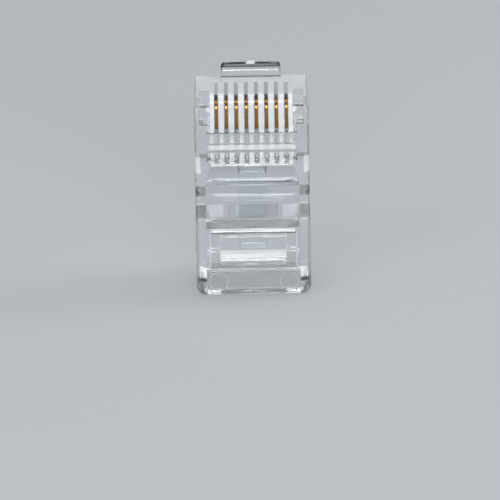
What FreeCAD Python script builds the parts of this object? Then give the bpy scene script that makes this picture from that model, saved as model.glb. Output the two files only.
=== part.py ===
import FreeCAD, Part
import MeshPart
import Sketcher
import math
import os
import re

# An uncrimped eight-contact modular plug, standing on its cable-entry end.
# Frame: X across the plug, +Y from the contact side to the latch side, +Z to the nose.
# The origin is the middle of the cable-entry end face. Depths below are measured from
# the contact face towards the latch; heights are measured up from the cable-entry end.
sizes = {
    # outer form of the housing
    "width": 11.68,
    "length": 21.46,
    "noseThickness": 6.6,
    "rearThickness": 8.0,
    "rearLength": 8.3,
    "rearStepRun": 0.57,
    "valleyDepth": 2.8,
    "valleyFrontDepth": 2.7,
    "valleyFrontRun": 1.75,
    "noseFootDepth": 2.1,
    "noseSlopeRun": 1.1,
    "latchSideStepHeight": 8.8,
    "latchSideStepRun": 1.4,
    "entryCornerRadius": 1.0,
    "longEdgeRadius": 0.48,
    "latchEdgeRadius": 0.3,
    "rearEdgeRadius": 0.2,
    "leadInWidth": 0.27,
    "leadInLength": 1.4,
    # cable cavity and the funnel that leads the conductors to their channels
    "cavityWidth": 9.6,
    "contactWall": 1.6,
    "latchWall": 0.9,
    "cavityRoofEnd": 6.9,
    "valleyWall": 0.7,
    "cavityRoofRun": 1.2,
    "noseLatchWall": 1.0,
    "mouthChamfer": 0.35,
    "funnelRun": 2.64,
    "funnelEndBack": 0.4,
    "funnelEndRoof": 3.0,
    "funnelEndFloor": 4.5,
    "funnelLip": 0.8,
    # contacts, their slots and the conductor channels
    "contacts": 8,
    "pitch": 1.016,
    "bladeThickness": 0.3,
    "bladeSideGap": 0.04,
    "bladeLength": 3.0,
    "bladeFromNose": 0.71,
    "bladeRecess": 0.3,
    "bladeHeight": 2.3,
    "bladeNoseRadius": 0.9,
    "bladeRearRadius": 0.3,
    "tineHeight": 0.65,
    "tines": 3,
    "crimpTravel": 0.4,
    "slotEndGap": 0.1,
    "slotFloorGap": 0.9,
    "channelDiameter": 0.86,
    "channelDepth": 3.55,
    "channelFromNose": 0.6,
    # comb edges and the pockets beside the comb
    "combWidth": 8.38,
    "combRadius": 1.0,
    "sideWall": 0.55,
    "pocketLength": 3.11,
    "pocketDepth": 1.6,
    "deepPocketLength": 1.76,
    "deepPocketDepth": 2.3,
    # conductor clamp bar, the web that carries it and their window
    "combBackWall": 0.2,
    "clampWindowWidth": 9.2,
    "clampWindowDepth": 3.25,
    "clampFloorRise": 0.4,
    "clampFloorGap": 0.12,
    "clampHingeDepth": 2.1,
    "clampHingeBack": 1.4,
    "barNoseGap": 1.3,
    "barLength": 0.85,
    "barRecess": 0.12,
    "barThickness": 0.73,
    "barHeel": 0.2,
    "barFoot": 0.48,
    "barSideGap": 0.1,
    "hingeBead": 0.32,
    # jacket clamp and its window in the rear block
    "jacketWindowWidth": 8.7,
    "jacketWindowStart": 2.95,
    "jacketWindowLength": 3.72,
    "jacketClampWidth": 6.8,
    "jacketHingeGap": 0.1,
    "jacketHingeDepth": 0.6,
    "jacketClampLength": 2.9,
    "jacketBackDepth": 0.75,
    "jacketTipDepth": 1.0,
    "jacketBiteDepth": 2.3,
    "jacketToothDepth": 1.9,
    "jacketToothRise": 1.5,
    "jacketThroatDepth": 1.5,
    "jacketThroatRise": 0.7,
    "jacketHeelRise": 0.45,
    # moulding marks
    "ejectorDiameter": 1.9,
    "ejectorSpread": 7.2,
    "ejectorHeight": 1.5,
    "ejectorDepth": 0.08,
    # latch
    "latchRootWidth": 6.08,
    "latchRootRadius": 0.8,
    "latchAxisProud": 0.25,
    "latchAxisRise": 0.5,
    "latchSeatGap": 0.05,
    "latchSeatRadius": 0.3,
    "latchNeckGap": 0.42,
    "latchNeck": 0.95,
    "latchNeckDrop": 1.1,
    "latchNeckRadius": 0.2,
    "latchSideRadius": 0.35,
    "shoulderFromNose": 8.0,
    "shoulderRise": 1.96,
    "shoulderThickness": 1.45,
    "handleWidth": 3.0,
    "handleTipWidth": 2.9,
    "handleThickness": 1.0,
    "handleTipRise": 2.98,
    "handleTipHeight": 0.7,
    "handleCornerRadius": 0.6,
    "handleEdgeRadius": 0.25,
    "gateWidth": 0.85,
    "gateDepth": 0.5,
    "gateHeight": 0.25,
}

os.makedirs("parts", exist_ok=True)
doc = FreeCAD.newDocument("modular_plug")
sheet = doc.addObject("Spreadsheet::Sheet", "Sizes")
for row, (alias, value) in enumerate(sizes.items(), start=1):
    sheet.set(f"A{row}", alias)
    sheet.set(f"B{row}", str(value))
    sheet.setAlias(f"B{row}", alias)
doc.recompute()


def bind(text):
    # an expression in the sheet's own words
    return re.sub(r"[A-Za-z]\w*", lambda m: f"Sizes.{m[0]}" if m[0] in sizes else m[0], text)


def axisOf(body, role):
    return next(f for f in body.Origin.OriginFeatures if f.Role == role)


def newBody(label, tag=None):
    body = doc.addObject("PartDesign::Body", tag or label)
    body.Label = label
    return body


def newSketch(body, name, role, offset=None):
    sketch = body.newObject("Sketcher::SketchObject", name)
    sketch.AttachmentSupport = [(axisOf(body, role), "")]
    sketch.MapMode = "FlatFace"
    if offset:
        sketch.setExpression("AttachmentOffset.Base.z", bind(offset))
    return sketch


def placePoint(sketch, geometry, corner, point, start):
    for kind, text, value in zip(("DistanceX", "DistanceY"), point, start):
        number = sketch.addConstraint(Sketcher.Constraint(kind, -1, 1, geometry, corner, value))
        sketch.setExpression(f"Constraints[{number}]", bind(text))


def addPolygon(sketch, points):
    # a closed outline whose corners are each bound to the sheet, drawn first round a circle
    count = len(points)
    guesses = []
    for number in range(count):
        turn = -2 * math.pi * number / count
        guesses.append((30 + 5 * math.cos(turn), 30 + 5 * math.sin(turn)))
    first = sketch.GeometryCount
    for number in range(count):
        begin = FreeCAD.Vector(*guesses[number], 0)
        end = FreeCAD.Vector(*guesses[(number + 1) % count], 0)
        sketch.addGeometry(Part.LineSegment(begin, end))
    for number in range(count):
        following = first + (number + 1) % count
        sketch.addConstraint(Sketcher.Constraint("Coincident", first + number, 2, following, 1))
    for number in range(count):
        placePoint(sketch, first + number, 1, points[number], guesses[number])


def addRectangle(sketch, low, high):
    addPolygon(sketch, [low, (high[0], low[1]), high, (low[0], high[1])])


def addCircle(sketch, centre, diameter):
    number = sketch.GeometryCount
    sketch.addGeometry(Part.Circle(FreeCAD.Vector(30, 30, 0), FreeCAD.Vector(0, 0, 1), 1.0))
    placePoint(sketch, number, 3, centre, (30, 30))
    constraint = sketch.addConstraint(Sketcher.Constraint("Diameter", number, 2.0))
    sketch.setExpression(f"Constraints[{constraint}]", bind(diameter))


def fromContactFace(depth):
    # sketch distance along Y of a depth measured from the contact face
    return f"{depth} - rearThickness / 2"


def sideOutline(body, name, points, offset=None):
    sketch = newSketch(body, name, "YZ_Plane", offset)
    addPolygon(sketch, [(fromContactFace(depth), height) for depth, height in points])
    return sketch


def pad(body, sketch, width):
    feature = body.newObject("PartDesign::Pad", sketch.Name + "Pad")
    feature.Profile = sketch
    feature.SideType = "Symmetric"
    feature.setExpression("Length", bind(width))
    finish(body, feature, +1)
    return feature


def grow(body, sketch, length):
    # a pad on one side of its sketch
    feature = body.newObject("PartDesign::Pad", sketch.Name + "Pad")
    feature.Profile = sketch
    feature.SideType = "One side"
    feature.setExpression("Length", bind(length))
    finish(body, feature, +1)
    return feature


def addBead(body, name, depth, height, width):
    # a round edge on which a piece turns, centred on its axis
    sketch = newSketch(body, name, "YZ_Plane")
    addCircle(sketch, (fromContactFace(depth), height), "hingeBead")
    pad(body, sketch, width)


def cut(body, sketch, length, symmetric=False, reverse=False):
    feature = body.newObject("PartDesign::Pocket", sketch.Name + "Pocket")
    feature.Profile = sketch
    feature.SideType = "Symmetric" if symmetric else "One side"
    feature.Reversed = reverse
    feature.setExpression("Length", bind(length))
    finish(body, feature, -1)
    return feature


def finish(body, feature, sign):
    # each feature must change the volume the way it is meant to
    before = volumes.get(body.Name, 0.0)
    doc.recompute()
    after = feature.Shape.Volume
    if (after - before) * sign <= 1e-6 * max(before, 1):
        raise RuntimeError(f"{body.Label}: {feature.Name} left the volume at {after:.4f}")
    volumes[body.Name] = after
    body.Tip = feature


def edgesWhere(shape, test):
    # names of the straight edges that pass a test on their direction and middle point
    names = []
    for number, edge in enumerate(shape.Edges, start=1):
        if edge.Degenerated or edge.Curve.TypeId != "Part::GeomLine":
            continue
        middle = edge.valueAt((edge.FirstParameter + edge.LastParameter) / 2)
        direction = edge.tangentAt(edge.FirstParameter)
        if test(middle, direction):
            names.append(f"Edge{number}")
    return names


def dress(body, kind, sizeName, test):
    base = body.Tip
    names = edgesWhere(base.Shape, test)
    feature = body.newObject(f"PartDesign::{kind}", f"{kind}_{sizeName}")
    feature.Base = (base, names)
    feature.setExpression("Radius" if kind == "Fillet" else "Size", bind(sizeName))
    doc.recompute()
    volumes[body.Name] = feature.Shape.Volume
    body.Tip = feature
    return feature


def near(a, b, gap=1e-3):
    return abs(a - b) < gap


# Heights that follow one another back from the nose: end of the blade slots, start of the
# clamp window, end of the nose block, foot of its slope, front of the valley, funnel.
slotEnd = "length - bladeFromNose - bladeLength - slotEndGap"
windowTop = f"{slotEnd} - combBackWall"
blockEnd = f"{windowTop} - barNoseGap - barLength"
noseFoot = f"{blockEnd} - noseSlopeRun"
barHinge = f"{blockEnd} - clampHingeBack"
funnelEndHeight = f"{barHinge} - funnelEndBack"
funnelHeight = f"{funnelEndHeight} - funnelRun"
shoulderHeight = "length - shoulderFromNose"
latchAxisDepth = "noseThickness + latchAxisProud"
latchAxisHeight = "length + latchAxisRise"
latchRootFoot = f"{latchAxisHeight} - latchRootRadius"
latchRootTop = f"{latchAxisHeight} + latchRootRadius"

volumes = {}
get = sheet.get
halfWidth = get("width") / 2
contactY = -get("rearThickness") / 2
length = get("length")

# Housing: one clear moulding. The side outline is padded across the width, the corners are
# rounded, and the cavities are cut from it.
housing = newBody("housing")
outline = sideOutline(housing, "housingOutline", [
    ("0", "0"),
    ("0", "rearLength"),
    ("valleyDepth", "rearLength + rearStepRun"),
    ("valleyFrontDepth", f"{noseFoot} - valleyFrontRun"),
    ("noseFootDepth", noseFoot),
    ("0", blockEnd),
    ("0", "length"),
    ("noseThickness", "length"),
    ("noseThickness", "latchSideStepHeight + latchSideStepRun"),
    ("rearThickness", "latchSideStepHeight"),
    ("rearThickness", "0"),
])
pad(housing, outline, "width")
dress(housing, "Fillet", "entryCornerRadius",
      lambda p, d: near(abs(p.x), halfWidth) and near(p.z, 0) and abs(d.y) > 0.9)
dress(housing, "Fillet", "longEdgeRadius",
      lambda p, d: near(abs(p.x), halfWidth) and p.y < contactY + get("valleyDepth") + 0.01)
dress(housing, "Fillet", "latchEdgeRadius",
      lambda p, d: near(abs(p.x), halfWidth) and p.y > get("noseThickness") + contactY - 0.01)
dress(housing, "Fillet", "rearEdgeRadius",
      lambda p, d: abs(d.x) > 0.9 and near(p.y, contactY) and near(p.z, get("rearLength")))
leadIn = newSketch(housing, "leadIn", "XZ_Plane")
for side in ("", "-"):
    addPolygon(leadIn, [
        (f"{side}(width / 2 - leadInWidth)", "length"),
        (f"{side}(width / 2 + leadInWidth)", "length + leadInLength"),
        (f"{side}(width / 2 + leadInWidth)", "length - leadInLength"),
        (f"{side}width / 2", "length - leadInLength"),
    ])
cut(housing, leadIn, "4 * rearThickness", symmetric=True)

# Cable cavity: open at the entry end, its roof rises under the valley and its floor under
# the step of the latch side.
cavity = sideOutline(housing, "cavity", [
    ("contactWall", "0"),
    ("contactWall", "cavityRoofEnd"),
    ("valleyDepth + valleyWall", "cavityRoofEnd + cavityRoofRun"),
    ("valleyDepth + valleyWall", funnelHeight),
    ("noseThickness - noseLatchWall", funnelHeight),
    ("noseThickness - noseLatchWall", "latchSideStepHeight + latchSideStepRun"),
    ("rearThickness - latchWall", "latchSideStepHeight"),
    ("rearThickness - latchWall", "0"),
])
cut(housing, cavity, "cavityWidth", symmetric=True)
dress(housing, "Chamfer", "mouthChamfer",
      lambda p, d: near(p.z, 0) and abs(p.x) < get("cavityWidth") / 2 + 0.01
      and near(p.y, contactY + get("contactWall")) or near(p.z, 0)
      and abs(p.x) < get("cavityWidth") / 2 + 0.01 and near(p.y, -contactY - get("latchWall")))

# Funnel: narrows both ways from the cavity to the mouths of the conductor channels.
funnelStart = newSketch(housing, "funnelStart", "XY_Plane", funnelHeight)
addRectangle(funnelStart, ("-cavityWidth / 2", fromContactFace("valleyDepth + valleyWall")),
             ("cavityWidth / 2", fromContactFace("noseThickness - noseLatchWall")))
funnelEnd = newSketch(housing, "funnelEnd", "XY_Plane", funnelEndHeight)
addRectangle(funnelEnd, ("-pitch * contacts / 2", fromContactFace("funnelEndRoof")),
             ("pitch * contacts / 2", fromContactFace("funnelEndFloor")))
doc.recompute()
funnel = housing.newObject("PartDesign::SubtractiveLoft", "funnel")
funnel.Profile = funnelStart
funnel.Sections = [funnelEnd]
funnel.Ruled = True
finish(housing, funnel, -1)
lip = sideOutline(housing, "funnelLipOutline", [
    ("channelDepth", funnelEndHeight),
    ("channelDepth", f"{funnelEndHeight} + funnelLip"),
    ("funnelEndFloor", funnelEndHeight),
])
cut(housing, lip, "pitch * contacts", symmetric=True)

# Pockets beside the comb, open to the nose and the contact face, with a step inside.
for name, run, depth in (("pocket", "pocketLength", "pocketDepth"),
                         ("deepPocket", "deepPocketLength", "deepPocketDepth")):
    sketch = newSketch(housing, name, "XZ_Plane", "rearThickness / 2")
    addRectangle(sketch, ("combWidth / 2", f"length - {run}"), ("width / 2 - sideWall", "length"))
    addRectangle(sketch, ("sideWall - width / 2", f"length - {run}"), ("-combWidth / 2", "length"))
    cut(housing, sketch, depth)

# Comb: its front corner is rounded before the slots are cut through it.
dress(housing, "Fillet", "combRadius",
      lambda p, d: near(p.z, length) and near(p.y, contactY) and abs(p.x) < 0.1)

# One slot for a contact blade and one conductor channel, repeated along X.
slot = sideOutline(housing, "slot", [
    ("0", slotEnd),
    ("0", "length"),
    ("bladeRecess + bladeHeight + tineHeight + crimpTravel + slotFloorGap", "length"),
    ("bladeRecess + bladeHeight + tineHeight + crimpTravel + slotFloorGap", slotEnd),
], "-pitch * (contacts - 1) / 2")
slotCut = cut(housing, slot, "bladeThickness + 2 * bladeSideGap", symmetric=True)
channel = newSketch(housing, "channel", "XY_Plane", f"{funnelEndHeight} - 0.1 * funnelLip")
addCircle(channel, ("-pitch * (contacts - 1) / 2", fromContactFace("channelDepth")), "channelDiameter")
channelCut = cut(housing, channel, f"length - channelFromNose - ({funnelEndHeight} - 0.1 * funnelLip)",
                 reverse=True)
comb = housing.newObject("PartDesign::LinearPattern", "comb")
comb.Originals = [slotCut, channelCut]
comb.Direction = (axisOf(housing, "X_Axis"), [""])
comb.Mode = "Spacing"
comb.setExpression("Offset", bind("pitch"))
comb.setExpression("Occurrences", bind("contacts"))
finish(housing, comb, -1)

# Window that lays the channels open for the conductor clamp. Between the grooves stand the
# lands that part the conductors, and a sloping floor carries the clamp's hinge.
clampFloor = f"{barHinge} - hingeBead / 2 - clampFloorGap"
clampWindow = sideOutline(housing, "clampWindow", [
    ("0", windowTop),
    ("clampWindowDepth", windowTop),
    ("clampWindowDepth", f"{clampFloor} + clampFloorRise"),
    ("clampHingeDepth", clampFloor),
    ("0", clampFloor),
])
cut(housing, clampWindow, "clampWindowWidth", symmetric=True)

# Window for the jacket clamp through the contact-side wall of the rear block.
jacketWindow = newSketch(housing, "jacketWindow", "XZ_Plane", "rearThickness / 2")
addRectangle(jacketWindow, ("-jacketWindowWidth / 2", "jacketWindowStart"),
             ("jacketWindowWidth / 2", "jacketWindowStart + jacketWindowLength"))
cut(housing, jacketWindow, "contactWall + 0.1")

# Witness marks of two ejector pins.
ejectors = newSketch(housing, "ejectorMarks", "XZ_Plane", "rearThickness / 2")
addCircle(ejectors, ("-ejectorSpread / 2", "ejectorHeight"), "ejectorDiameter")
addCircle(ejectors, ("ejectorSpread / 2", "ejectorHeight"), "ejectorDiameter")
cut(housing, ejectors, "ejectorDepth")

# Seat of the latch root: a notch across the latch-side edge of the nose.
seat = newSketch(housing, "latchSeat", "YZ_Plane")
addRectangle(seat, (fromContactFace(f"{latchAxisDepth} - latchRootRadius - latchSeatGap"),
                    f"{latchRootFoot} - latchSeatGap"),
             (fromContactFace("2 * noseThickness"), "2 * length"))
cut(housing, seat, "latchRootWidth + 2 * latchSeatGap", symmetric=True)
axisY = contactY + get("noseThickness") + get("latchAxisProud")
axisZ = length + get("latchAxisRise")
rootReach = get("latchRootRadius")
dress(housing, "Fillet", "latchSeatRadius",
      lambda p, d: abs(d.x) > 0.9 and near(p.y, axisY - rootReach - get("latchSeatGap"))
      and near(p.z, axisZ - rootReach - get("latchSeatGap")))

# Contact blades: thin stampings with a rounded nose corner and a row of tines.
for number in range(1, sizes["contacts"] + 1):
    blade = newBody(f"contact_{number}")
    points = [
        ("bladeRecess", "length - bladeFromNose - bladeLength"),
        ("bladeRecess", "length - bladeFromNose"),
        ("bladeRecess + bladeHeight", "length - bladeFromNose"),
    ]
    for tine in range(sizes["tines"]):
        tip = f"length - bladeFromNose - bladeLength * {2 * tine + 1} / (2 * tines)"
        root = f"length - bladeFromNose - bladeLength * {tine + 1} / tines"
        points.append(("bladeRecess + bladeHeight + tineHeight", tip))
        points.append(("bladeRecess + bladeHeight", root))
    pad(blade, sideOutline(blade, f"blade{number}", points), "bladeThickness")
    outerY = contactY + get("bladeRecess")
    noseEnd = length - get("bladeFromNose")
    rearEnd = noseEnd - get("bladeLength")
    dress(blade, "Fillet", "bladeNoseRadius",
          lambda p, d: abs(d.x) > 0.9 and near(p.y, outerY) and near(p.z, noseEnd))
    dress(blade, "Fillet", "bladeRearRadius",
          lambda p, d: abs(d.x) > 0.9 and near(p.y, outerY) and near(p.z, rearEnd))
    blade.setExpression("Placement.Base.x", bind(f"pitch * ({number} - (contacts + 1) / 2)"))

# Conductor clamp: a bar across the window on a thin slanting web, which turns in about a bead
# on the web's far edge.
bar = newBody("conductor_clamp")
pad(bar, sideOutline(bar, "barOutline", [
    ("barRecess", blockEnd),
    ("barRecess", f"{blockEnd} + barLength"),
    ("barRecess + barThickness", f"{blockEnd} + barLength"),
    ("barRecess + barThickness", f"{blockEnd} + barHeel"),
    ("clampHingeDepth + hingeBead / 3", f"{barHinge} + hingeBead / 3"),
    ("clampHingeDepth - hingeBead / 3", f"{barHinge} - hingeBead / 3"),
    ("barRecess + barFoot", blockEnd),
]), "clampWindowWidth - 2 * barSideGap")
addBead(bar, "barBead", "clampHingeDepth", barHinge, "clampWindowWidth - 2 * barSideGap")

# Jacket clamp: a wedge in the rear window that turns in about a bead on its entry-side edge.
wedge = newBody("jacket_clamp")
wedgeHinge = "jacketWindowStart + jacketHingeGap + hingeBead / 2"
pad(wedge, sideOutline(wedge, "wedgeOutline", [
    ("jacketHingeDepth - hingeBead / 2", wedgeHinge),
    ("jacketBackDepth", f"{wedgeHinge} + jacketHeelRise"),
    ("jacketTipDepth", f"{wedgeHinge} + jacketClampLength"),
    ("jacketBiteDepth", f"{wedgeHinge} + jacketClampLength"),
    ("jacketToothDepth", f"{wedgeHinge} + jacketToothRise"),
    ("jacketThroatDepth", f"{wedgeHinge} + jacketThroatRise"),
    ("jacketHingeDepth + hingeBead / 2", wedgeHinge),
]), "jacketClampWidth")
addBead(wedge, "wedgeBead", "jacketHingeDepth", wedgeHinge, "jacketClampWidth")

# Latch: a plate from the nose down to two locking shoulders, and a narrow handle bent back
# over the rear block. Its root is a round bar in the groove across the nose.
latch = newBody("latch_lever")
pad(latch, sideOutline(latch, "latchPlate", [
    (f"{latchAxisDepth} - latchRootRadius", latchRootFoot),
    (f"{latchAxisDepth} - latchRootRadius", latchRootTop),
    (f"{latchAxisDepth} + latchRootRadius", latchRootTop),
    ("noseThickness + latchNeckGap + latchNeck", f"{latchAxisHeight} - latchNeckDrop"),
    ("noseThickness + shoulderRise + shoulderThickness", shoulderHeight),
    ("noseThickness + shoulderRise", shoulderHeight),
    ("noseThickness + latchNeckGap", latchRootFoot),
]), "latchRootWidth")
rootHalf = get("latchRootWidth") / 2
shoulderZ = length - get("shoulderFromNose")
dress(latch, "Fillet", "latchRootRadius - 0.01",
      lambda p, d: abs(d.x) > 0.9 and near(abs(p.z - axisZ), rootReach)
      and near(abs(p.y - axisY), rootReach))
dress(latch, "Fillet", "latchNeckRadius",
      lambda p, d: abs(d.x) > 0.9 and near(p.z, axisZ - rootReach)
      and near(p.y, contactY + get("noseThickness") + get("latchNeckGap")))
dress(latch, "Fillet", "latchSideRadius",
      lambda p, d: near(abs(p.x), rootHalf) and abs(d.x) < 0.1 and p.z > shoulderZ + 0.1)
pad(latch, sideOutline(latch, "latchHandle", [
    ("noseThickness + shoulderRise", shoulderHeight),
    ("noseThickness + shoulderRise + shoulderThickness", shoulderHeight),
    ("noseThickness + handleTipRise + handleThickness", "handleTipHeight"),
    ("noseThickness + handleTipRise", "handleTipHeight"),
]), "handleWidth")
taper = newSketch(latch, "handleTaper", "XZ_Plane")
for side in ("", "-"):
    addPolygon(taper, [
        (f"{side}handleWidth / 2", shoulderHeight),
        (f"{side}handleWidth", shoulderHeight),
        (f"{side}handleWidth", "-handleTipHeight"),
        (f"{side}handleTipWidth / 2", "-handleTipHeight"),
    ])
cut(latch, taper, "4 * rearThickness", symmetric=True)
dress(latch, "Fillet", "handleCornerRadius",
      lambda p, d: abs(d.y) > 0.9 and near(p.z, get("handleTipHeight")))
dress(latch, "Fillet", "handleEdgeRadius",
      lambda p, d: abs(d.z) > 0.9 and p.z < shoulderZ - 0.1)
gate = newSketch(latch, "gate", "XY_Plane", f"{latchRootTop} - gateHeight / 2")
addRectangle(gate, ("-gateWidth / 2", fromContactFace(f"{latchAxisDepth} - gateDepth / 2")),
             ("gateWidth / 2", fromContactFace(f"{latchAxisDepth} + gateDepth / 2")))
grow(latch, gate, "1.5 * gateHeight")

parts = [o for o in doc.Objects if o.TypeId == "PartDesign::Body"]
doc.recompute()
for item in doc.Objects:
    if "Invalid" in item.State or "Error" in item.State:
        raise RuntimeError(f"{item.Name} failed: {item.State}")
triangles = 0
for part in parts:
    shape = part.Shape
    if shape.isNull() or not shape.isValid() or len(shape.Solids) != 1:
        raise RuntimeError(f"{part.Label} isn't one valid solid")
    facets = MeshPart.meshFromShape(Shape=shape, LinearDeflection=0.01, AngularDeflection=0.3)
    triangles += facets.CountFacets
for part in parts:
    part.Shape.exportStep(f"parts/{part.Label}.step")
    print(f"{part.Label}: {part.Shape.Volume:.3f} mm3")
print(f"{len(parts)} parts, about {triangles} triangles")
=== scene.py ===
import math
import bpy
import numpy as np
from mathutils import Matrix, Vector


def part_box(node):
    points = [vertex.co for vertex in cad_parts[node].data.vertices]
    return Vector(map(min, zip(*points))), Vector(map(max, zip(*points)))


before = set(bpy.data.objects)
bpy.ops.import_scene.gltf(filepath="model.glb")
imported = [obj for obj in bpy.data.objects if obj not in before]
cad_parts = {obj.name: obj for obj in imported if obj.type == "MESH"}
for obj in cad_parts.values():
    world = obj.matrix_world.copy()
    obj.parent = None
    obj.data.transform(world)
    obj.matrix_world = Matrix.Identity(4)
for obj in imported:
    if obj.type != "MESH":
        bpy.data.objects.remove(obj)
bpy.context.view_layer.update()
mm = 0.001  # in metres

# Where things are, read from the frame
housingLow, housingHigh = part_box("housing")
nose = housingHigh.z / mm
contactFace = housingLow.y / mm
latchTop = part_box("latch_lever")[1].z / mm
contacts = sorted(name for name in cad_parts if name.startswith("contact_"))
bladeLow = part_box(contacts[0])[0]
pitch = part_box(contacts[1])[0].x - bladeLow.x
print("frame loaded:", len(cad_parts), "nodes")


def hexLinear(text):
    # sRGB hex to linear light
    parts = [int(text[i:i + 2], 16) / 255 for i in (1, 3, 5)]
    linear = [c / 12.92 if c <= 0.04045 else ((c + 0.055) / 1.055) ** 2.4 for c in parts]
    return (*linear, 1.0)


def newMaterial(name):
    material = bpy.data.materials.new(name)
    material.use_nodes = True
    material.node_tree.nodes.clear()
    return material


def addNode(material, kind, settings=None, links=None):
    # one node, its settings (properties, or inputs by name or number) and the links into it;
    # a node that is given as a link stands for its first output
    tree = material.node_tree
    node = tree.nodes.new(kind)
    for name, value in (settings or {}).items():
        if isinstance(name, int) or name in node.inputs:
            node.inputs[name].default_value = value
        else:
            setattr(node, name, value)
    for name, source in (links or {}).items():
        output = source.outputs[0] if isinstance(source, bpy.types.Node) else source
        tree.links.new(output, node.inputs[name])
    return node


# Clear polycarbonate, injection moulded: glass-clear where the mould was polished, white and
# grainy where its steel was spark eroded, as round the contact comb and on the nose.
clear = {
    "body": "#f7f9fa",
    "frost": "#eef0f3",
    "ior": 1.585,
    "polishRoughness": 0.015,
    "satinRoughness": 0.14,
    "frostRoughness": 0.4,
    "haze": 0.02,  # share of light that the polished plastic scatters
    "frostWhite": 0.62,  # the same where it is frosted
    "paleShare": 0.5,  # frost on the pale faces, against full frost
    "patchThin": 0.85,  # frost where it is thinnest
    "patchNoise": (0.3, 0.7),  # noise values at the thinnest and the fullest frost
    "patchDetail": 4.0,
    "grainDetail": 3.0,
    "flowDetail": 1.0,
    "edgeSamples": 6,
    "patchSize": 1.2,  # millimetres, as all below
    "boxSoft": 0.06,
    "ribSoft": 0.03,
    "ringSoft": 0.03,
    "ringDepth": 0.2,
    "grainSize": 0.09,
    "grainDepth": 0.012,
    "flowSize": 3.0,
    "flowDepth": 0.0015,
    "edgeRadius": 0.06,
}


def band(m, source, low, high, soft):
    # 1 between low and high, in millimetres along one axis, falling to 0 over soft on each side
    rise = addNode(m, "ShaderNodeMapRange", {
        "From Min": (low - soft) * mm, "From Max": low * mm}, {"Value": source})
    fall = addNode(m, "ShaderNodeMapRange", {
        "From Min": high * mm, "From Max": (high + soft) * mm, "To Min": 1.0, "To Max": 0.0},
        {"Value": source})
    return addNode(m, "ShaderNodeMath", {"operation": "MULTIPLY"}, {0: rise, 1: fall})


def boxMask(m, axes, box):
    # product of the bands on the axes that the box gives
    mask = None
    for name, (low, high) in box.items():
        start = contactFace if name == "depth" else 0
        part = band(m, axes[name], start + low, start + high, clear["boxSoft"])
        mask = part if mask is None else addNode(
            m, "ShaderNodeMath", {"operation": "MULTIPLY"}, {0: mask, 1: part})
    return mask


def anyOf(m, masks):
    # the largest of several masks
    largest = masks[0]
    for other in masks[1:]:
        largest = addNode(m, "ShaderNodeMath", {"operation": "MAXIMUM"}, {0: largest, 1: other})
    return largest


def frostMask(m, finish, axes, across):
    # how frosted each point is, from 0 to 1
    masks = [boxMask(m, axes, box) for box in finish.get("frosted", [])]
    if "ribs" in finish:
        # ribs stand one pitch apart: X folded to the distance from the nearest rib's middle
        fold = addNode(m, "ShaderNodeMath", {"operation": "PINGPONG", 1: pitch / 2}, {0: across})
    for box, half in finish.get("ribs", []):
        rib = addNode(m, "ShaderNodeMapRange", {
            "From Min": (half - clear["ribSoft"]) * mm, "From Max": half * mm,
            "To Min": 1.0, "To Max": 0.0}, {"Value": fold})
        masks.append(addNode(m, "ShaderNodeMath", {"operation": "MULTIPLY"}, {
            0: boxMask(m, axes, box), 1: rib}))
    for box in finish.get("pale", []):
        masks.append(addNode(m, "ShaderNodeMath", {"operation": "MULTIPLY", 1: clear["paleShare"]},
                             {0: boxMask(m, axes, box)}))
    for ring in finish.get("rings", []):
        flat = addNode(m, "ShaderNodeCombineXYZ", {}, {"X": axes["x"], "Z": axes["height"]})
        reach = addNode(m, "ShaderNodeVectorMath", {
            "operation": "DISTANCE", 1: (ring["x"] * mm, 0.0, ring["height"] * mm)}, {0: flat})
        line = band(m, reach.outputs["Value"], ring["inner"], ring["outer"], clear["ringSoft"])
        onFace = boxMask(m, axes, {"depth": (0, clear["ringDepth"])})
        both = addNode(m, "ShaderNodeMath", {"operation": "MULTIPLY"}, {0: line, 1: onFace})
        masks.append(addNode(m, "ShaderNodeMath", {"operation": "MULTIPLY", 1: clear["paleShare"]},
                             {0: both}))
    return anyOf(m, masks)


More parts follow.
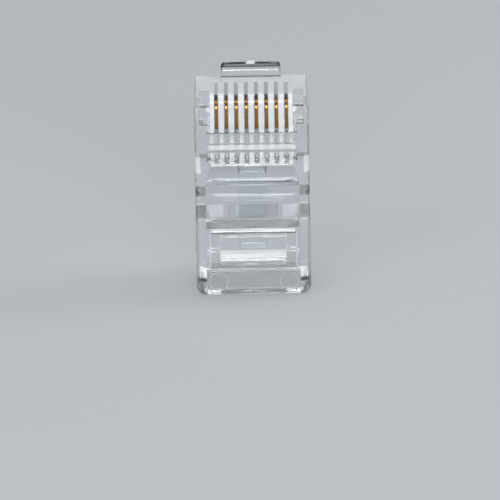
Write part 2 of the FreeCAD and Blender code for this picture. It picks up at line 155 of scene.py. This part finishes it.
def clearPolycarbonate(name, finish):
    m = newMaterial(name)
    place = addNode(m, "ShaderNodeTexCoord").outputs["Object"]
    parts = addNode(m, "ShaderNodeSeparateXYZ", {}, {"Vector": place})
    side = addNode(m, "ShaderNodeMath", {"operation": "ABSOLUTE"}, {0: parts.outputs["X"]})
    axes = {"x": side, "depth": parts.outputs["Y"], "height": parts.outputs["Z"]}
    # the frost, a little thinner in patches
    patches = addNode(m, "ShaderNodeTexNoise", {
        "Scale": 1 / (clear["patchSize"] * mm), "Detail": clear["patchDetail"]}, {"Vector": place})
    uneven = addNode(m, "ShaderNodeMapRange", {
        "From Min": clear["patchNoise"][0], "From Max": clear["patchNoise"][1],
        "To Min": clear["patchThin"]}, {"Value": patches})
    frost = addNode(m, "ShaderNodeMath", {"operation": "MULTIPLY"}, {
        0: frostMask(m, finish, axes, parts.outputs["X"]), 1: uneven})
    roughness = addNode(m, "ShaderNodeMapRange", {
        "To Min": clear["polishRoughness"], "To Max": clear["frostRoughness"]}, {"Value": frost})
    if "satin" in finish:
        # faces of the cavity core, which is polished less than the outside of the mould
        satin = anyOf(m, [boxMask(m, axes, box) for box in finish["satin"]])
        dull = addNode(m, "ShaderNodeMath", {
            "operation": "MULTIPLY", 1: clear["satinRoughness"]}, {0: satin})
        roughness = addNode(m, "ShaderNodeMath", {"operation": "MAXIMUM"}, {0: roughness, 1: dull})
    through = addNode(m, "ShaderNodeMapRange", {
        "To Min": 1 - clear["haze"], "To Max": 1 - clear["frostWhite"]}, {"Value": frost})
    tone = addNode(m, "ShaderNodeMix", {
        "data_type": "RGBA", "A": hexLinear(clear["body"]), "B": hexLinear(clear["frost"])},
        {"Factor": frost})
    # slow waves left by the flow of the melt, over rounded edges
    flow = addNode(m, "ShaderNodeTexNoise", {
        "Scale": 1 / (clear["flowSize"] * mm), "Detail": clear["flowDetail"]}, {"Vector": place})
    rounded = addNode(m, "ShaderNodeBevel", {
        "samples": clear["edgeSamples"], "Radius": clear["edgeRadius"] * mm})
    waves = addNode(m, "ShaderNodeBump", {"Strength": 1.0, "Distance": clear["flowDepth"] * mm},
                    {"Height": flow, "Normal": rounded})
    # spark-eroded grain, a tenth of a millimetre across, only where there is frost
    grain = addNode(m, "ShaderNodeTexNoise", {
        "Scale": 1 / (clear["grainSize"] * mm), "Detail": clear["grainDetail"]}, {"Vector": place})
    grit = addNode(m, "ShaderNodeBump", {"Distance": clear["grainDepth"] * mm}, {
        "Height": grain, "Strength": frost, "Normal": waves})
    plastic = addNode(m, "ShaderNodeBsdfPrincipled", {"IOR": clear["ior"]}, {
        "Base Color": tone.outputs["Result"], "Roughness": roughness,
        "Transmission Weight": through, "Normal": grit})
    addNode(m, "ShaderNodeOutputMaterial", {}, {"Surface": plastic})
    return m


# Contact blades: phosphor bronze stamped from strip, gold over nickel on the edge that mates, so
# warm gold at the tip.
# Deeper in the slot the colour turns dark brown: partly the bare bronze of the sheared sides, partly
# painted shade of the slot.
blade = {
    "gold": "#ad7c3a",
    # bare bronze, darkened further as painted shade of the slot
    "flankBronzeAndShade": "#5f3f1e",
    "roughness": (0.2, 0.4),  # on the smoothest and the coarsest lines of the shear
    "goldToShadeDepth": 1.6,  # millimetres behind the mating edge over which the gold gives way to bronze darkened with painted shade
    "shearSpacing": 0.05,  # millimetres
    "shearStretch": 0.08,  # how often the lines change along the blade's depth, against across
    "shearHeight": 0.004,  # millimetres
    "shearDetail": 3.0,
    "shearStrength": 0.5,
}


def goldPlate():
    m = newMaterial("goldPlatedBronzeStamping")
    place = addNode(m, "ShaderNodeTexCoord").outputs["Object"]
    parts = addNode(m, "ShaderNodeSeparateXYZ", {}, {"Vector": place})
    # the colour darkens deeper into the slot: bare bronze plus painted shade of the recess
    depth = addNode(m, "ShaderNodeMapRange", {
        "From Min": bladeLow.y, "From Max": bladeLow.y + blade["goldToShadeDepth"] * mm},
        {"Value": parts.outputs["Y"]})
    tone = addNode(m, "ShaderNodeMix", {
        "data_type": "RGBA", "A": hexLinear(blade["gold"]), "B": hexLinear(blade["flankBronzeAndShade"])},
        {"Factor": depth})
    stretch = addNode(m, "ShaderNodeMapping", {"Scale": (1.0, blade["shearStretch"], 1.0)},
                      {"Vector": place})
    shear = addNode(m, "ShaderNodeTexNoise", {
        "Scale": 1 / (blade["shearSpacing"] * mm), "Detail": blade["shearDetail"]},
        {"Vector": stretch})
    rough = addNode(m, "ShaderNodeMapRange", {
        "To Min": blade["roughness"][0], "To Max": blade["roughness"][1]}, {"Value": shear})
    lines = addNode(m, "ShaderNodeBump", {
        "Strength": blade["shearStrength"], "Distance": blade["shearHeight"] * mm},
        {"Height": shear})
    metal = addNode(m, "ShaderNodeBsdfPrincipled", {"Metallic": 1.0}, {
        "Base Color": tone.outputs["Result"], "Roughness": rough, "Normal": lines})
    addNode(m, "ShaderNodeOutputMaterial", {}, {"Surface": metal})
    return m


# What the mould leaves on each clear piece, as boxes in millimetres: x runs from the middle
# plane to both sides, depth from the contact face towards the latch, height from the cable
# entry to the nose. Ribs are a box and half a rib's width.
combFoot = nose - 3.9  # height at which the contact comb ends
housingFinish = {
    "frosted": [
        {"x": (0, 10), "height": (nose - 0.02, nose)},  # nose end
        {"x": (3.9, 4.2), "depth": (0, 1.5), "height": (combFoot, nose)},  # cheeks of the comb
        {"x": (5.3, 7), "depth": (1.9, 3.0), "height": (12.3, 14.25)},  # under the nose block
    ],
    "ribs": [
        ({"x": (0, 4.2), "depth": (0, 3), "height": (combFoot, nose)}, 0.3),  # contact comb
        ({"x": (0, 4.2), "depth": (3.1, 4.2), "height": (13.3, combFoot)}, 0.28),  # channel walls
        ({"x": (0, 4.2), "depth": (2.0, 3.2), "height": (13.3, 14.3)}, 0.3),  # channel mouths
    ],
    "pale": [
        {"x": (4.8, 5.7), "depth": (0.1, 2.9), "height": (8.25, 8.95)},  # ends of the rear ledge
        {"x": (4.28, 4.42), "depth": (0, 1.5), "height": (2.95, 6.67)},  # jacket window's sides
    ],
    "satin": [
        {"x": (0, 5.0), "depth": (1.5, 3.7), "height": (6.8, 8.3)},  # roof of the cable cavity
        {"x": (0, 4.5), "depth": (0, 1.7), "height": (2.85, 3.05)},  # jacket window's foot
        {"x": (0, 4.7), "depth": (2.0, 3.3), "height": (13.4, 14.1)},  # clamp window's floor
    ],
    "rings": [{"x": 3.6, "height": 1.5, "inner": 0.92, "outer": 0.97}],  # round ejector pins
}
latchFinish = {
    "frosted": [{"x": (0, 0.44), "height": (latchTop - 0.27, latchTop)}],  # stub of the gate
}
clampFinish = {
    "pale": [
        {"depth": (0.3, 1.3), "height": (3.84, 4.58)},  # bite of the jacket clamp
        {"x": (3.36, 3.5), "depth": (0, 2.4), "height": (3.1, 6.2)},  # its sides
        {"depth": (0, 0.25), "height": (15.2, 16.2)},  # front of the conductor clamp
    ],
}
gold = goldPlate()
housingPlastic = clearPolycarbonate("mouldedPolycarbonateHousing", housingFinish)
latchPlastic = clearPolycarbonate("mouldedPolycarbonateLatch", latchFinish)
clampPlastic = clearPolycarbonate("mouldedPolycarbonateClamps", clampFinish)
print("materials made: three of clear plastic, one of gold plate")

# Edge radii in millimetres: a mould polishes its outer corners round, and a stamping die
# leaves a small roll on the edges of strip. The housing's material rounds its edges.
edgeRadius = {"latch": 0.08, "conductorClamp": 0.05, "jacketClamp": 0.06, "blade": 0.03}
dress = {
    "weld": 0.0002,  # millimetres
    "flatAngle": 1.0,  # degrees, as the two below
    "bevelAngle": 33,
    "splitAngle": 18,
    "bevelSegments": 2,
    "flatWeight": 80,
}


def dressNode(name, material, radius=0):
    # joins the loose facets, rounds the hard edges a little, or only parts them where there is
    # no radius, and lets flat faces rule the shading beside them
    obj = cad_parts[name]
    obj.data.materials.clear()
    obj.data.materials.append(material)
    obj.data.polygons.foreach_set("use_smooth", [True] * len(obj.data.polygons))
    weld = obj.modifiers.new("weld", "WELD")
    weld.merge_threshold = dress["weld"] * mm
    if radius:
        flat = obj.modifiers.new("flatFaces", "DECIMATE")
        flat.decimate_type = "DISSOLVE"
        flat.angle_limit = math.radians(dress["flatAngle"])
        edge = obj.modifiers.new("edgeRound", "BEVEL")
        edge.width = radius * mm
        edge.segments = dress["bevelSegments"]
        edge.limit_method = "ANGLE"
        edge.angle_limit = math.radians(dress["bevelAngle"])
        edge.use_clamp_overlap = False
        edge.miter_outer = "MITER_ARC"
    else:
        split = obj.modifiers.new("split", "EDGE_SPLIT")
        split.split_angle = math.radians(dress["splitAngle"])
        split.use_edge_sharp = False
    shade = obj.modifiers.new("flatShade", "WEIGHTED_NORMAL")
    shade.weight = dress["flatWeight"]
    shade.keep_sharp = False


dressNode("housing", housingPlastic)
dressNode("latch_lever", latchPlastic, edgeRadius["latch"])
dressNode("conductor_clamp", clampPlastic, edgeRadius["conductorClamp"])
dressNode("jacket_clamp", clampPlastic, edgeRadius["jacketClamp"])
for name in contacts:
    dressNode(name, gold, edgeRadius["blade"])
for name in ("conductor_clamp", "jacket_clamp"):
    # clear plastic lets the lamps reach the faces behind it
    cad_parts[name].visible_shadow = False
print("pieces dressed:", len(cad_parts))

# Floor: one level sheet of pale matt paint, plain and even
stage = {
    "reach": 1.2,  # metres to each side
    "drop": 0.03,  # millimetres below the rim, so that light leaves it and finds the floor
    "colour": "#b6babf",
    "roughness": 0.8,
    "evenShare": 0.5,  # how much of what is seen is the even tone
}


def surfaceMesh(name, points):
    # quads between neighbouring rows and columns of a grid of points
    rows, columns = points.shape[:2]
    index = np.arange(rows * columns).reshape(rows, columns)
    quads = np.stack([index[:-1, :-1], index[1:, :-1], index[1:, 1:], index[:-1, 1:]], -1)
    mesh = bpy.data.meshes.new(name)
    mesh.from_pydata(points.reshape(-1, 3).tolist(), [], quads.reshape(-1, 4).tolist())
    mesh.update()
    obj = bpy.data.objects.new(name, mesh)
    bpy.context.scene.collection.objects.link(obj)
    return obj


def paleSweep():
    m = newMaterial("paleStudioSweep")
    tone = hexLinear(stage["colour"])
    paint = addNode(m, "ShaderNodeBsdfPrincipled", {
        "Base Color": tone, "Roughness": stage["roughness"]})
    evenTone = addNode(m, "ShaderNodeEmission", {"Color": tone, "Strength": 1.0})
    ray = addNode(m, "ShaderNodeLightPath").outputs
    seen = anyOf(m, [ray["Is Glossy Ray"], ray["Is Transmission Ray"], ray["Is Camera Ray"]])
    share = addNode(m, "ShaderNodeMath", {"operation": "MULTIPLY", 1: stage["evenShare"]}, {0: seen})
    both = addNode(m, "ShaderNodeMixShader", {}, {0: share, 1: paint, 2: evenTone})
    addNode(m, "ShaderNodeOutputMaterial", {}, {"Surface": both})
    return m


# a level grid of three points each way, X along its rows and Y along its columns
along = np.linspace(-stage["reach"], stage["reach"], 3)
gridX, gridY = np.meshgrid(along, along, indexing="ij")
level = np.full_like(gridX, -stage["drop"] * mm)
floor = surfaceMesh("floor", np.stack([gridX, gridY, level], -1))
floor.data.materials.append(paleSweep())

# World: plain light grey
studio = {"colour": "#c9ccd0", "strength": 0.25}
world = bpy.data.worlds.new("studio")
bpy.context.scene.world = world
world.use_nodes = True
background = world.node_tree.nodes["Background"]
background.inputs["Color"].default_value = hexLinear(studio["colour"])
background.inputs["Strength"].default_value = studio["strength"]
print("floor and world made")

# Softboxes, in metres and watts, all turned towards the middle of the plug
aimPoint = Vector((0, 0, 0.012))
softboxes = {
    "keyBox": {"place": (-0.22, -0.26, 0.26), "size": (0.20, 0.20), "power": 0.52},
    "rimBox": {"place": (0.26, 0.06, 0.18), "size": (0.12, 0.20), "power": 0.4},
    "topBox": {"place": (0.0, 0.05, 0.34), "size": (0.26, 0.20), "power": 0.52},
    "frontBox": {"place": (0.04, -0.50, 0.18), "size": (0.36, 0.11), "power": 2.1},
}
for name, box in softboxes.items():
    lamp = bpy.data.lights.new(name, "AREA")
    lamp.shape = "RECTANGLE"
    lamp.size, lamp.size_y = box["size"]
    lamp.energy = box["power"]
    lampObject = bpy.data.objects.new(name, lamp)
    bpy.context.scene.collection.objects.link(lampObject)
    lampObject.location = box["place"]
    towards = aimPoint - Vector(box["place"])
    lampObject.rotation_euler = towards.to_track_quat("-Z", "Y").to_euler()
print("softboxes hung:", len(softboxes))

# Camera: a long lens on the contact side, a little above
view = {
    "distance": 0.8,  # metres
    "elevation": 19.5,  # degrees
    "roll": 0.95,  # degrees
    "lens": 564.0,  # millimetres, as all below
    "sensor": 36.0,
    "clipStart": 10.0,
    "rise": 4.61,  # how far up from the foot of the contact face the camera is aimed
    "side": -0.357,
}
elevation = math.radians(view["elevation"])
turn = math.radians(view["roll"])
right = Vector((1, 0, 0))
forward = Vector((0, math.cos(elevation), -math.sin(elevation)))
up = Vector((0, math.sin(elevation), math.cos(elevation)))
aim = Vector((0, housingLow.y, 0)) + up * view["rise"] * mm + right * view["side"] * mm
rolledRight = right * math.cos(turn) - up * math.sin(turn)
rolledUp = up * math.cos(turn) + right * math.sin(turn)
basis = Matrix((rolledRight, rolledUp, -forward)).transposed().to_4x4()
camera = bpy.data.cameras.new("camera")
camera.lens = view["lens"]
camera.sensor_width = view["sensor"]
camera.clip_start = view["clipStart"] * mm
cameraObject = bpy.data.objects.new("camera", camera)
bpy.context.scene.collection.objects.link(cameraObject)
cameraObject.matrix_world = Matrix.Translation(aim - forward * view["distance"]) @ basis
bpy.context.scene.camera = cameraObject
bpy.context.scene.view_settings.view_transform = "Standard"
# light turns many times inside the clear body before it leaves
bounces = {"all": 32, "transmission": 28}
bpy.context.scene.cycles.max_bounces = bounces["all"]
bpy.context.scene.cycles.transmission_bounces = bounces["transmission"]
print("camera set")
